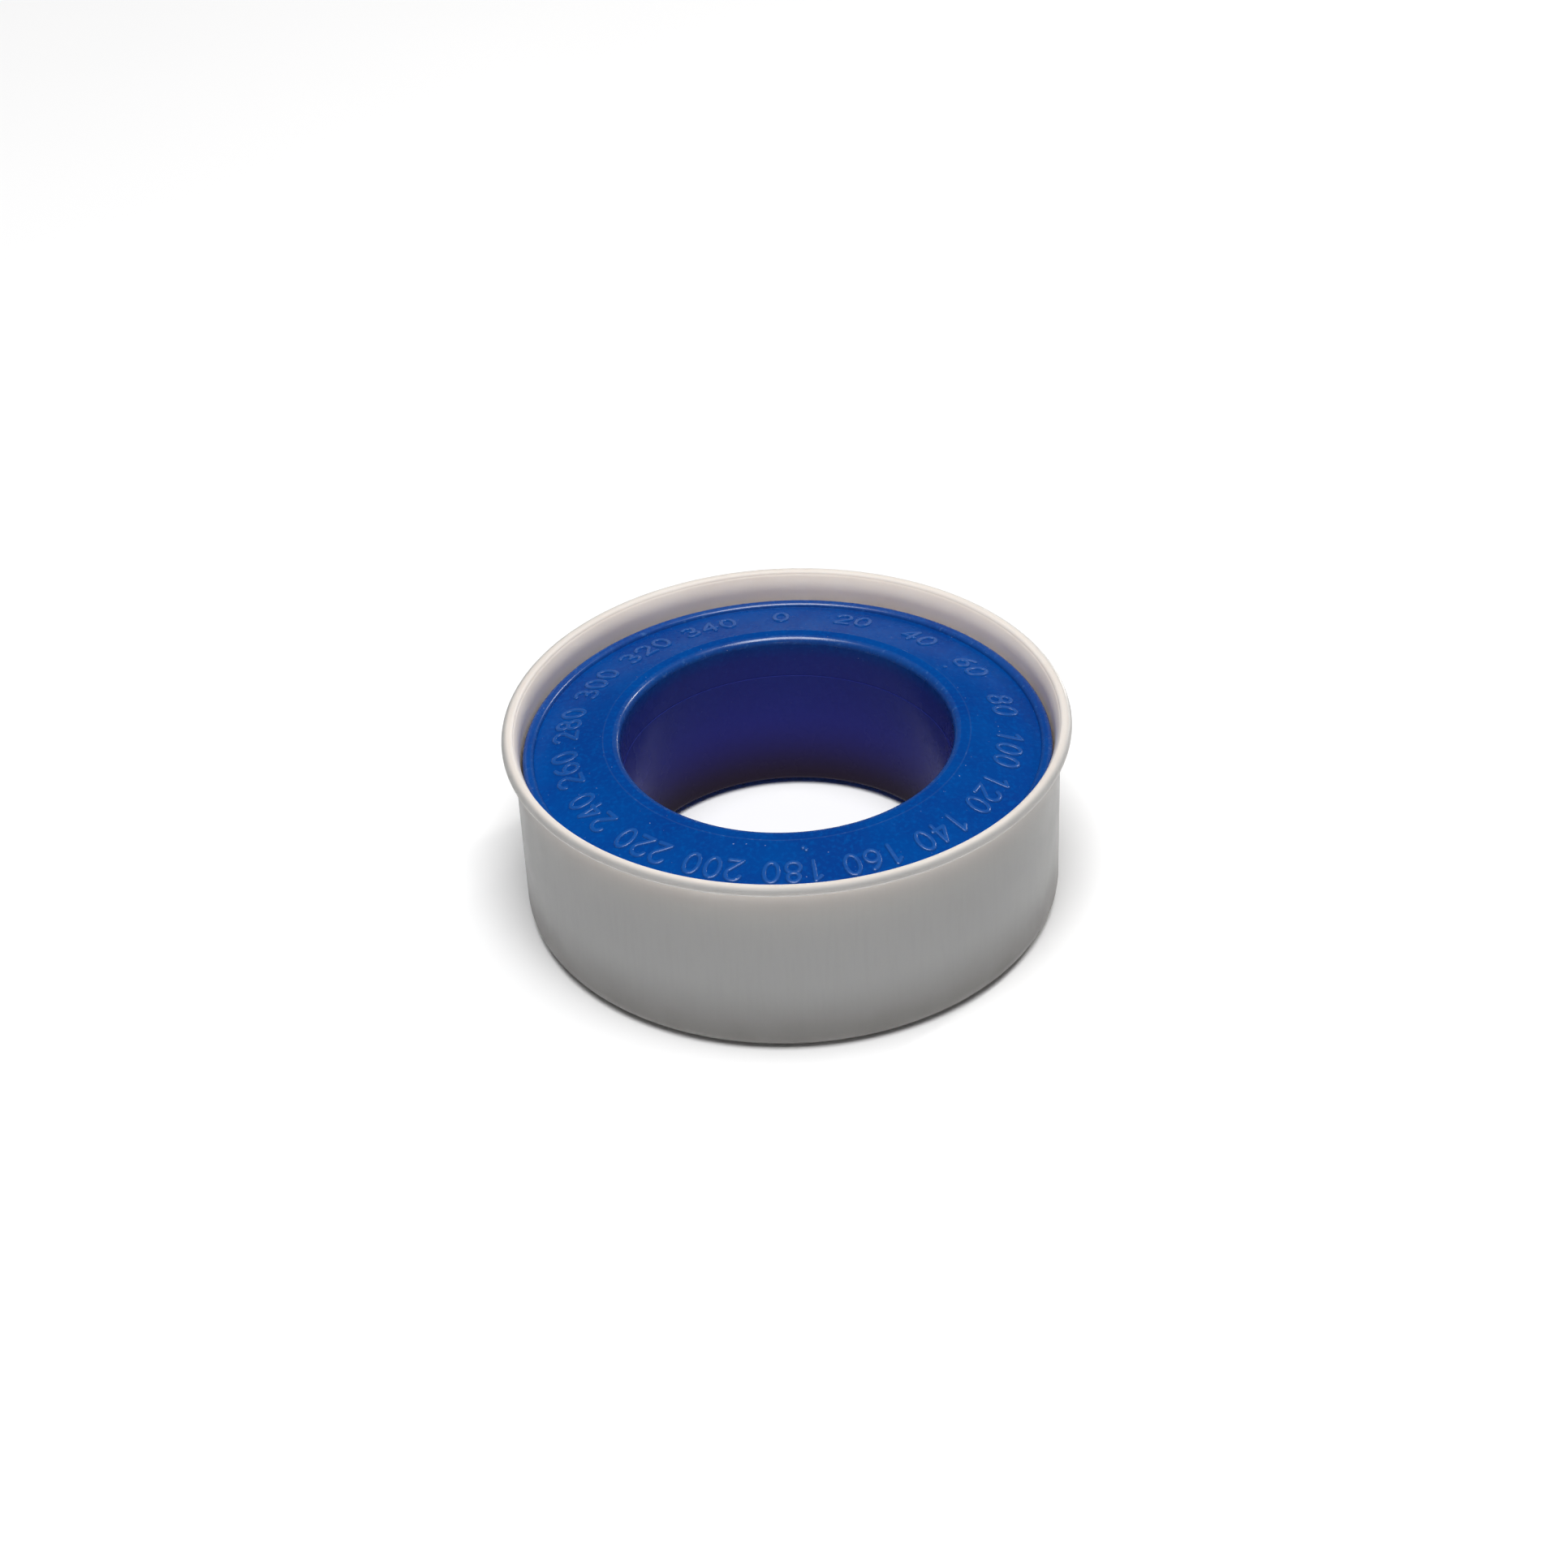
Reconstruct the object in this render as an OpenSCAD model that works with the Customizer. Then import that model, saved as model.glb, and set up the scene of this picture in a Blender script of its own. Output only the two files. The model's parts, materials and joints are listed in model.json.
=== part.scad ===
// Thread seal tape roll: tape wound on a two-part spool, which drops into an open cover ring.
// Lengths are in millimetres. +Z runs up the roll's axis and z = 0 is the face it rests on.

/* [Tape] */
// Width of the tape
tape_w = 12; // [8:0.5:25]
// Room between each edge of the tape and the flange beside it
tape_edge_gap = 0.3; // [0.25:0.01:1]
// Build-up of the wound tape on the hub, under its outer turn
winding_t = 0.65; // [0.4:0.05:4]
// Thickness of the outer turn
turn_t = 0.2; // [0.1:0.05:0.4]
// Gap where the free end lies over the start of the outer turn
turn_gap = 0.45; // [0.42:0.01:0.8]
// Angle by which the free end overlaps the start of the outer turn, in degrees
turn_overlap = 30; // [10:5:90]

/* [Spool] */
// Diameter of both flanges
flange_d = 50; // [46:0.5:80]
// Thickness of a flange's plate
flange_t = 0.85; // [0.6:0.05:2]
// Width of the raised bead along a flange's outer edge
bead_w = 1.1; // [1:0.05:2]
// Height of that bead above the plate
bead_h = 0.4; // [0.2:0.05:0.5]
// Diameter of the hub's bore
bore_d = 31.4; // [12:0.1:33]
// Wall of the hub tube
hub_wall = 1.4; // [1.2:0.05:2]
// Rise of the upper flange's outer face from its bead to the flat ring round the bore
dish_h = 1.6; // [1:0.05:1.8]
// Width of the flat rings round both ends of the bore
ring_w = 1.5; // [1.3:0.05:3]

/* [Spool joint] */
// Length of the upper half's spigot below its flange
spigot_l = 1.9; // [1:0.05:4]
// Wall of the spigot
spigot_t = 0.55; // [0.4:0.05:0.6]
// Ledge that shows inside the bore where the two halves meet
seam_step = 0.06; // [0.02:0.02:0.3]

/* [Cover] */
// Wall of the cover ring
cover_wall = 0.5; // [0.4:0.05:1.5]
// Thickness of the lip that the spool stands on
lip_t = 1.35; // [1.1:0.05:2]
// Width of that lip, in from the cover's inner wall
lip_w = 2.9; // [2.4:0.05:5]
// Height of the cover's rim above the upper flange's bead
rim_stand = 2.75; // [2:0.05:5]
// Overhang of the rim outside the wall
rim_overhang = 1.05; // [0.95:0.05:2]
// Height of the rim's rounded bead
rim_h = 0.75; // [0.6:0.05:1.35]
// Outward flare of the inner wall at the rim
rim_flare = 0.45; // [0.2:0.05:0.55]
// Radius of the outer bottom corner
corner_r = 1.7; // [0.9:0.05:2]

/* [Clearances] */
// Radial room between the flanges and the cover's inner wall
cover_gap = 0.2; // [0.15:0.05:1]
// Radial room between the lip and the sloped part of the lower flange
dish_gap = 0.3; // [0.2:0.05:0.6]
// Room between the spool's lower ring and the surface that the roll stands on
foot_gap = 0.5; // [0.2:0.05:0.7]
// Radial room between the spigot and its socket
spigot_gap = 0.05; // [0.02:0.01:0.1]
// Radial room between the hub and the wound tape
winding_gap = 0.05; // [0.02:0.01:0.2]
// Radial room between the wound tape and its outer turn
turn_clearance = 0.2; // [0.15:0.01:0.4]

/* [Hidden] */

$fn = 96;
// Straight steps that stand for one rounded corner of a profile
corner_steps = 6;
// Straight steps in one full turn of the tape
turn_steps = 60;

// Rounded edges and fillets of the mouldings
bead_edge_r = 0.45;
plate_edge_r = 0.3;
mouth_r = 0.65;
foot_mouth_r = 0.78;
ring_edge_r = 0.5;
root_fillet = 0.4;
inner_corner_r = 0.5;
rim_inner_r = 0.3;
rim_foot_r = 0.15;
rim_fillet = 0.6;
flare_h = 1.6;
tape_edge_r = 0.2;

blue_plastic = [0.05, 0.26, 0.62];
white_plastic = [0.80, 0.79, 0.78];
white_tape = [0.94, 0.94, 0.93];

// Radii, from the bore outwards
bore_r = bore_d / 2;
cap_bore_r = bore_r + seam_step;
spigot_r = cap_bore_r + spigot_t;
socket_r = spigot_r + spigot_gap;
hub_r = bore_r + hub_wall;
foot_r = bore_r + ring_w;
ring_r = cap_bore_r + ring_w;
winding_in_r = hub_r + winding_gap;
winding_r = winding_in_r + winding_t;
turn_in_r = winding_r + turn_clearance;
flange_r = flange_d / 2;
cover_in_r = flange_r + cover_gap;
cover_r = cover_in_r + cover_wall;
lip_r = cover_in_r - lip_w;
rim_in_r = cover_in_r + rim_flare;
rim_r = cover_r + rim_overhang;
dish_r = lip_r - dish_gap;

// The rim's rounded top takes what its inner edge leaves, within the bead's height
rim_top_r = min(rim_r - rim_in_r - rim_inner_r, rim_h - rim_foot_r);
// The inner wall flares along an arc that starts upright
flare_r = (flare_h * flare_h + rim_flare * rim_flare) / (2 * rim_flare);
flare_angle = asin(flare_h / flare_r);

// Levels, from the face it rests on upwards
flange_gap = tape_w + 2 * tape_edge_gap;
spool_z = lip_t;
base_plate_z = spool_z + bead_h;
base_top_z = base_plate_z + flange_t;
tape_z = base_top_z + tape_edge_gap;
cap_z = base_top_z + flange_gap;
seam_z = cap_z - spigot_l;
cap_plate_z = cap_z + flange_t;
bead_z = cap_plate_z + bead_h;
ring_z = cap_plate_z + dish_h;
foot_z = foot_gap;
rim_z = bead_z + rim_stand;
rim_foot_z = rim_z - rim_h;
flare_z = rim_z - rim_inner_r - flare_h;

// Slopes of the flanges' outer faces, in degrees
cap_slope = atan(dish_h / (flange_r - bead_w - ring_r));
base_slope = atan((base_plate_z - foot_z) / (dish_r - foot_r));

// Outer turn: a spiral that climbs by its own thickness and the gap in each full turn
turn_pitch = turn_t + turn_gap;
turn_angle = 360 + turn_overlap;
turn_count = ceil(turn_steps * turn_angle / 360);

// Points along an arc about centre c of radius r, from angle a to angle b
function arc(c, r, a, b) =
    [for (i = [0 : corner_steps])
        let (t = a + (b - a) * i / corner_steps)
        [c[0] + r * cos(t), c[1] + r * sin(t)]];

// One edge of the outer turn, lifted by the given thickness above its inner face
function turn_edge(lift) =
    [for (i = [0 : turn_count])
        let (t = turn_angle * i / turn_count, r = turn_in_r + lift + turn_pitch * t / 360)
        [r * cos(t), r * sin(t)]];

// Profile of the cover ring: bottom lip, round corner, straight wall and flared rim
cover_profile = concat(
    arc([lip_r + lip_t / 2, lip_t / 2], lip_t / 2, 90, 270),
    arc([cover_r - corner_r, corner_r], corner_r, 270, 360),
    arc([cover_r + rim_fillet, rim_foot_z - rim_fillet], rim_fillet, 180, 90),
    arc([rim_r - rim_foot_r, rim_foot_z + rim_foot_r], rim_foot_r, 270, 360),
    arc([rim_r - rim_top_r, rim_z - rim_top_r], rim_top_r, 0, 90),
    arc([rim_in_r + rim_inner_r, rim_z - rim_inner_r], rim_inner_r, 90, 180),
    arc([cover_in_r + flare_r, flare_z], flare_r, 180 - flare_angle, 180),
    arc([cover_in_r - inner_corner_r, lip_t + inner_corner_r], inner_corner_r, 360, 270)
);

// Profile of the lower half: flat ring, flange that thickens to the hub, hub tube and socket
base_profile = concat(
    arc([bore_r + foot_mouth_r, foot_z + foot_mouth_r], foot_mouth_r, 180, 270),
    arc([foot_r, foot_z + ring_edge_r], ring_edge_r, 270, 270 + base_slope),
    [[dish_r, base_plate_z]],
    arc([flange_r - bead_w + bead_h, spool_z + bead_h], bead_h, 180, 270),
    arc([flange_r - bead_edge_r, spool_z + bead_edge_r], bead_edge_r, 270, 360),
    arc([flange_r - plate_edge_r, base_top_z - plate_edge_r], plate_edge_r, 0, 90),
    arc([hub_r + root_fillet, base_top_z + root_fillet], root_fillet, 270, 180),
    [[hub_r, cap_z], [socket_r, cap_z], [socket_r, seam_z], [bore_r, seam_z]]
);

// Profile of the upper half: spigot, flange that thickens to the hub, and its flat ring
cap_profile = concat(
    [[cap_bore_r, seam_z], [spigot_r, seam_z], [spigot_r, cap_z]],
    arc([flange_r - plate_edge_r, cap_z + plate_edge_r], plate_edge_r, 270, 360),
    arc([flange_r - bead_edge_r, bead_z - bead_edge_r], bead_edge_r, 0, 90),
    arc([flange_r - bead_w + bead_h, bead_z - bead_h], bead_h, 90, 180),
    arc([ring_r, ring_z - ring_edge_r], ring_edge_r, 90 - cap_slope, 90),
    arc([cap_bore_r + mouth_r, ring_z - mouth_r], mouth_r, 90, 180)
);

// Profile of the wound tape under its outer turn
winding_profile = concat(
    [[winding_in_r, tape_z]],
    arc([winding_r - tape_edge_r, tape_z + tape_edge_r], tape_edge_r, 270, 360),
    arc([winding_r - tape_edge_r, tape_z + tape_w - tape_edge_r], tape_edge_r, 0, 90),
    [[winding_in_r, tape_z + tape_w]]
);

// Least gap of the outer turn to itself, between points more than half a turn apart
turn_inner = turn_edge(0);
turn_outer = turn_edge(turn_t);
half_turn = turn_steps / 2;
turn_least_gap = min([
    for (i = [0 : turn_count - half_turn])
        for (j = [i + half_turn : turn_count])
            norm(turn_inner[j] - turn_outer[i])
]);
echo(turn_least_gap = turn_least_gap);

// White cover ring, open above and below, with a lip that carries the spool
module cover_shell() {
    color(white_plastic)
        rotate_extrude() polygon(cover_profile);
}

// Lower half of the spool: plain flange, hub tube and socket
module spool_base() {
    color(blue_plastic)
        rotate_extrude() polygon(base_profile);
}

// Upper half of the spool: flange that rises to the bore, and the spigot that plugs into the hub
module spool_cap() {
    color(blue_plastic)
        rotate_extrude() polygon(cap_profile);
}

// Inner turns of the tape, wound tight on the hub
module tape_winding() {
    color(white_tape)
        rotate_extrude() polygon(winding_profile);
}

// Outer turn of the tape, one open spiral that ends in the free end
module tape_outer_turn() {
    color(white_tape)
        translate([0, 0, tape_z])
            linear_extrude(tape_w)
                polygon(concat(turn_outer, [for (i = [turn_count : -1 : 0]) turn_inner[i]]));
}

cover_shell();
spool_base();
spool_cap();
tape_winding();
tape_outer_turn();
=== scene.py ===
"""Looks of a thread seal tape roll: white tape on a blue two-part spool, in a white cover ring.

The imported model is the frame. Each CAD node is replaced by a finer surface of the same section, worked
out on a grid with numpy and dressed with a procedural finish. Lengths are in millimetres up to the point
where a mesh is made, and in metres from there on.
"""

import json
import logging
import math
from dataclasses import dataclass
from enum import Enum
from typing import Optional

import bpy
import numpy as np
from mathutils import Matrix, Vector


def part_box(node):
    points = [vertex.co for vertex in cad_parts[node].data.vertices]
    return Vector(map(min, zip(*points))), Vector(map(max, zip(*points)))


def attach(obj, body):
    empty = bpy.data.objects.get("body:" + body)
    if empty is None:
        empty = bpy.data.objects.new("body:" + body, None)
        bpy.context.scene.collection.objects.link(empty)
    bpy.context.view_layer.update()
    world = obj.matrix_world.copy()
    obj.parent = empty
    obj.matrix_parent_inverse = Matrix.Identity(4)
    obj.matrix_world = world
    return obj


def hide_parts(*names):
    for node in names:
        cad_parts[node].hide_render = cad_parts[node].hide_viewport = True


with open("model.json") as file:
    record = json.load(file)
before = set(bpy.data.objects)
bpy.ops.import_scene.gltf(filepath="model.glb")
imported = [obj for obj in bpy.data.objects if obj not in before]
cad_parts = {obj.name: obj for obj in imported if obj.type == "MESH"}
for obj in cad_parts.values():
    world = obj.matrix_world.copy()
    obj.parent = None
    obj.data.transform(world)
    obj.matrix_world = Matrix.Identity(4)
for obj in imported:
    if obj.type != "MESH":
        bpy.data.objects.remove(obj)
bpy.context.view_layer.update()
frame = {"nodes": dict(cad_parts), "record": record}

log = logging.getLogger("tape_roll")

MM = 0.001
# Columns round a turned piece, steps in a rounded corner, and longest step along a straight stretch
TURN_STEPS = 480
CORNER_STEPS = 9
STRAIGHT_STEP = 0.6
# Straight runs longer than this keep a point close to each end, so that edges shade crisply
CRISP_RUN = 0.45
CRISP_EDGE = 0.03
# Curvature in radians per millimetre from which an edge counts as fully tight
TIGHT_BEND = 1.6

Colour = tuple[float, float, float, float]


class Body(Enum):
    """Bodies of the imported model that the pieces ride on."""

    COVER = "cover"
    SPOOL = "spool"
    TAPE_END = "tape_end"


class Slot(Enum):
    """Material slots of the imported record."""

    COVER = "cover_plastic"
    SPOOL = "spool_plastic"
    TAPE = "tape_white"


# Outlines and grids


def arc(centre: tuple[float, float], radius: float, start: float, end: float) -> np.ndarray:
    """Arc as an array of points: centre plus radius times the cosine and sine of even angles.

    Args:
        centre: Centre of the arc, as distance from the axis and height.
        radius: Radius of the arc.
        start: First angle in degrees.
        end: Last angle in degrees.

    Returns:
        Points of shape (CORNER_STEPS, 2).
    """
    angle = np.radians(np.linspace(start, end, CORNER_STEPS))
    return np.array(centre) + radius * np.stack([np.cos(angle), np.sin(angle)], 1)


def corner(radius: float, height: float) -> np.ndarray:
    """One sharp corner of an outline, as an array of one point."""
    return np.array([[radius, height]])


def closed_outline(*stretches: np.ndarray) -> np.ndarray:
    """Joins stretches into one closed outline and fills its straight runs with extra points.

    A run between neighbours is cut into equal shares, which are eased by half a cosine, so that the
    points lie closer together towards both ends. A long run is shared out between two points that lie
    just inside its ends, so that flat faces keep flat shading.

    Args:
        stretches: Arrays of points, in order against the clock about the section.

    Returns:
        Points of the closed outline, without a repeat of the first one.
    """
    points = np.concatenate(stretches)
    step = np.roll(points, -1, 0) - points
    length = np.linalg.norm(step, axis=1)
    crisp = length > CRISP_RUN
    inner = np.maximum(1, np.ceil(length / STRAIGHT_STEP).astype(int))
    count = np.where(crisp, inner + 2, 1)
    owner = np.repeat(np.arange(len(points)), count)
    number = np.arange(count.sum()) - (np.cumsum(count) - count)[owner]
    edge = (CRISP_EDGE / np.maximum(length, CRISP_RUN))[owner]
    eased = 0.5 - 0.5 * np.cos(math.pi * (number - 1) / inner[owner])
    share = np.where(number == 0, 0, edge + (1 - 2 * edge) * eased)
    return points[owner] + share[:, None] * step[owner]


def ridge_share(outline: np.ndarray) -> np.ndarray:
    """How convex the outline is at each point, from 0 on flats and hollows to 1 on tight round edges.

    The turn between the steps before and after a point, divided by their mean length, is the curvature.
    It is given as a share of the tight bend.

    Args:
        outline: Closed outline against the clock.

    Returns:
        One value for each point.
    """
    after = np.roll(outline, -1, 0) - outline
    before = outline - np.roll(outline, 1, 0)
    turn = before[:, 0] * after[:, 1] - before[:, 1] * after[:, 0]
    first, second = np.linalg.norm(before, axis=1), np.linalg.norm(after, axis=1)
    bend = np.arcsin(np.clip(turn / np.maximum(first * second, 1e-9), -1, 1))
    curvature = bend / np.maximum(0.5 * (first + second), 1e-6)
    return np.clip(curvature / TIGHT_BEND, 0, 1)


def outward_share(outline: np.ndarray) -> np.ndarray:
    """How far the outline faces away from the axis at each point, from -1 inwards to 1 outwards.

    The chord between a point's neighbours, turned by a right angle, is the way the point faces.

    Args:
        outline: Closed outline against the clock.

    Returns:
        One value for each point.
    """
    return unit(np.roll(outline, -1, 0) - np.roll(outline, 1, 0))[:, 1]


def smooth_step(value: np.ndarray) -> np.ndarray:
    """Eases values from 0 to 1 by 3 x squared minus 2 x cubed, and holds them outside."""
    held = np.clip(value, 0, 1)
    return held * held * (3 - 2 * held)


def unit(vectors: np.ndarray) -> np.ndarray:
    """Vectors of the same directions and of length one."""
    return vectors / np.maximum(np.linalg.norm(vectors, axis=-1, keepdims=True), 1e-12)


def grid_faces(rows: int, columns: int, wrap: tuple[bool, bool]) -> np.ndarray:
    """Corner numbers of the faces between the neighbours of a grid.

    A face goes along the columns first and then along the rows, so that a section drawn against the
    clock has its faces outwards when it is carried along its path.

    Args:
        rows: Points in a section.
        columns: Sections along the path.
        wrap: Whether the last row joins the first one, and whether the last column does.

    Returns:
        Array of shape (faces, 4).
    """
    row = np.arange(rows if wrap[0] else rows - 1)[:, None]
    column = np.arange(columns if wrap[1] else columns - 1)[None, :]
    next_row = (row + 1) % rows
    next_column = (column + 1) % columns
    return np.stack([row * columns + column, row * columns + next_column,
                     next_row * columns + next_column, next_row * columns + column], -1).reshape(-1, 4)


def mesh_object(name: str, points: np.ndarray, faces: np.ndarray,
                ends: Optional[np.ndarray] = None) -> bpy.types.Object:
    """Makes a smooth mesh object from points, four-sided faces and flat end faces.

    Args:
        name: Name of the object.
        points: Points in millimetres, of any shape that ends in 3.
        faces: Corner numbers of shape (faces, 4).
        ends: Corner numbers of the end faces, one row each, or None.

    Returns:
        The new object, linked to the scene.
    """
    ends = np.zeros((0, 4), int) if ends is None else ends
    corners = np.concatenate([faces.ravel(), ends.ravel()])
    starts = np.concatenate([np.arange(len(faces)) * 4, faces.size + np.arange(len(ends)) * ends.shape[1]])
    mesh = bpy.data.meshes.new(name)
    mesh.vertices.add(points.size // 3)
    mesh.vertices.foreach_set("co", (points * MM).astype(np.float32).ravel())
    mesh.loops.add(len(corners))
    mesh.loops.foreach_set("vertex_index", corners.astype(np.int32))
    mesh.polygons.add(len(starts))
    mesh.polygons.foreach_set("loop_start", starts.astype(np.int32))
    mesh.polygons.foreach_set("use_smooth", np.arange(len(starts)) < len(faces))
    mesh.update(calc_edges=True)
    mesh.validate()
    made = bpy.data.objects.new(name, mesh)
    bpy.context.scene.collection.objects.link(made)
    return made


def set_point_value(made: bpy.types.Object, name: str, values: np.ndarray) -> None:
    """Stores one number for each vertex of a piece as a named attribute."""
    attribute = made.data.attributes.new(name, "FLOAT", "POINT")
    attribute.data.foreach_set("value", values.astype(np.float32).ravel())


def turned(name: str, outline: np.ndarray, **values: np.ndarray) -> bpy.types.Object:
    """Carries a closed outline round the axis: (r cos a, r sin a, z) for each point and even angle.

    Args:
        name: Name of the object.
        outline: Closed outline of distances from the axis and heights.
        values: One number for each point of the outline, stored as an attribute of that name.

    Returns:
        The new object.
    """
    angle = np.linspace(0, 2 * math.pi, TURN_STEPS, endpoint=False)
    radius = outline[:, :1]
    height = np.repeat(outline[:, 1:], TURN_STEPS, 1)
    points = np.stack([radius * np.cos(angle), radius * np.sin(angle), height], -1)
    made = mesh_object(name, points, grid_faces(len(outline), TURN_STEPS, (True, True)))
    for key, value in values.items():
        set_point_value(made, key, np.repeat(value, TURN_STEPS))
    return made


def stroke_object(name: str, points: np.ndarray) -> bpy.types.Object:
    """Makes one object of one or more closed strokes, each a section carried along a path.

    Args:
        name: Name of the object.
        points: Points of shape (strokes, rows, columns, 3), rows round the section, columns along it.

    Returns:
        The new object, with both ends of each stroke closed.
    """
    count, rows, columns = points.shape[:3]
    offset = (np.arange(count) * rows * columns)[:, None, None]
    faces = (grid_faces(rows, columns, (True, False))[None] + offset).reshape(-1, 4)
    ring = np.arange(rows) * columns
    ends = (np.stack([ring, ring[::-1] + columns - 1])[None] + offset).reshape(-1, rows)
    return mesh_object(name, points, faces, ends)


def box_mm(node: str) -> tuple[np.ndarray, np.ndarray]:
    """Lowest and highest corner of a CAD node, in millimetres."""
    low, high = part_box(node)
    return np.array(low) / MM, np.array(high) / MM


def inner_radius_mm(node: str) -> float:
    """Least distance of a CAD node's points from the axis.

    Args:
        node: Name of the node.

    Returns:
        The distance in millimetres.
    """
    mesh = frame["nodes"][node].data
    points = np.zeros(len(mesh.vertices) * 3, np.float32)
    mesh.vertices.foreach_get("co", points)
    return float(np.hypot(points[0::3], points[1::3]).min()) / MM


# Finishes


class NodeGraph:
    """Adds and links the nodes of one material on its Principled shader."""

    def __init__(self, name: str) -> None:
        """Makes the material and finds its shader.

        Args:
            name: Name of the material.
        """
        self.material = bpy.data.materials.new(name)
        self.material.use_nodes = True
        self.tree = self.material.node_tree
        self.shader = self.tree.nodes["Principled BSDF"]
        self.place = self.add("ShaderNodeTexCoord").outputs["Object"]

    def add(self, kind: str, **settings: object) -> bpy.types.Node:
        """Adds a node and sets its properties.

        Args:
            kind: Type of the node.
            settings: Properties by name.

        Returns:
            The new node.
        """
        node = self.tree.nodes.new(kind)
        for key, value in settings.items():
            setattr(node, key, value)
        return node

    def link(self, source: bpy.types.NodeSocket, target: bpy.types.NodeSocket) -> None:
        """Links an output to an input."""
        self.tree.links.new(source, target)

    def fix(self, **sockets: object) -> None:
        """Sets constants on the shader's own sockets, named with _ for a blank."""
        for key, value in sockets.items():
            self.shader.inputs[key.replace("_", " ")].default_value = value

    def noise(self, size: float, detail: float = 3.0,
              stretch: tuple[float, float, float] = (1, 1, 1)) -> bpy.types.NodeSocket:
        """Noise with features of a given size.

        Args:
            size: Size of the largest features, in millimetres.
            detail: Octaves of finer noise.
            stretch: How many times longer the features are along each axis.

        Returns:
            The factor output, about 0.5 on average.
        """
        mapping = self.add("ShaderNodeMapping")
        self.link(self.place, mapping.inputs["Vector"])
        mapping.inputs["Scale"].default_value = [1 / s for s in stretch]
        texture = self.add("ShaderNodeTexNoise")
        texture.inputs["Scale"].default_value = 1 / (size * MM)
        texture.inputs["Detail"].default_value = detail
        self.link(mapping.outputs["Vector"], texture.inputs["Vector"])
        return texture.outputs["Fac"]

    def spread(self, value: bpy.types.NodeSocket, source: tuple[float, float],
               target: tuple[float, float]) -> bpy.types.NodeSocket:
        """Maps a value from one range to another, eased and held at both ends.

        Args:
            value: The value.
            source: Range that it comes from.
            target: Range that it goes to.

        Returns:
            The mapped value.
        """
        node = self.add("ShaderNodeMapRange", interpolation_type="SMOOTHSTEP")
        self.link(value, node.inputs["Value"])
        node.inputs["From Min"].default_value, node.inputs["From Max"].default_value = source
        node.inputs["To Min"].default_value, node.inputs["To Max"].default_value = target
        return node.outputs["Result"]

    def times(self, first: bpy.types.NodeSocket,
              second: bpy.types.NodeSocket | float) -> bpy.types.NodeSocket:
        """Multiplies a value by another value or by a number.

        Args:
            first: The value.
            second: Another value, or a number.

        Returns:
            The product.
        """
        node = self.add("ShaderNodeMath", operation="MULTIPLY")
        self.link(first, node.inputs[0])
        if isinstance(second, bpy.types.NodeSocket):
            self.link(second, node.inputs[1])
        else:
            node.inputs[1].default_value = second
        return node.outputs[0]

    def blend(self, share: bpy.types.NodeSocket, first: Colour | bpy.types.NodeSocket,
              second: Colour | bpy.types.NodeSocket) -> bpy.types.NodeSocket:
        """Mixes two colours by a share.

        Args:
            share: Share of the second colour.
            first: Colour, or an output that gives one.
            second: Colour, or an output that gives one.

        Returns:
            The mixed colour.
        """
        node = self.add("ShaderNodeMix", data_type="RGBA")
        self.link(share, node.inputs["Factor"])
        sockets = [s for s in node.inputs if s.type == "RGBA"]
        for socket, colour in zip(sockets, (first, second)):
            if isinstance(colour, bpy.types.NodeSocket):
                self.link(colour, socket)
            else:
                socket.default_value = colour
        return next(s for s in node.outputs if s.type == "RGBA")

    def value(self, name: str) -> bpy.types.NodeSocket:
        """Reads a named attribute of the piece as a number."""
        return self.add("ShaderNodeAttribute", attribute_name=name).outputs["Fac"]

    def height(self) -> bpy.types.NodeSocket:
        """Reads the object's own height coordinate.

        Returns:
            The height in metres, as a value.
        """
        node = self.add("ShaderNodeSeparateXYZ")
        self.link(self.place, node.inputs["Vector"])
        return node.outputs["Z"]

    def bump(self, height: bpy.types.NodeSocket, depth: float) -> None:
        """Adds relief on top of what the shader's normal already has.

        Args:
            height: Relief, from 0 to 1.
            depth: Depth of the relief in millimetres.
        """
        node = self.add("ShaderNodeBump")
        node.inputs["Distance"].default_value = depth * MM
        self.link(height, node.inputs["Height"])
        before = self.shader.inputs["Normal"].links
        if before:
            self.link(before[0].from_socket, node.inputs["Normal"])
        self.link(node.outputs["Normal"], self.shader.inputs["Normal"])


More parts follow.
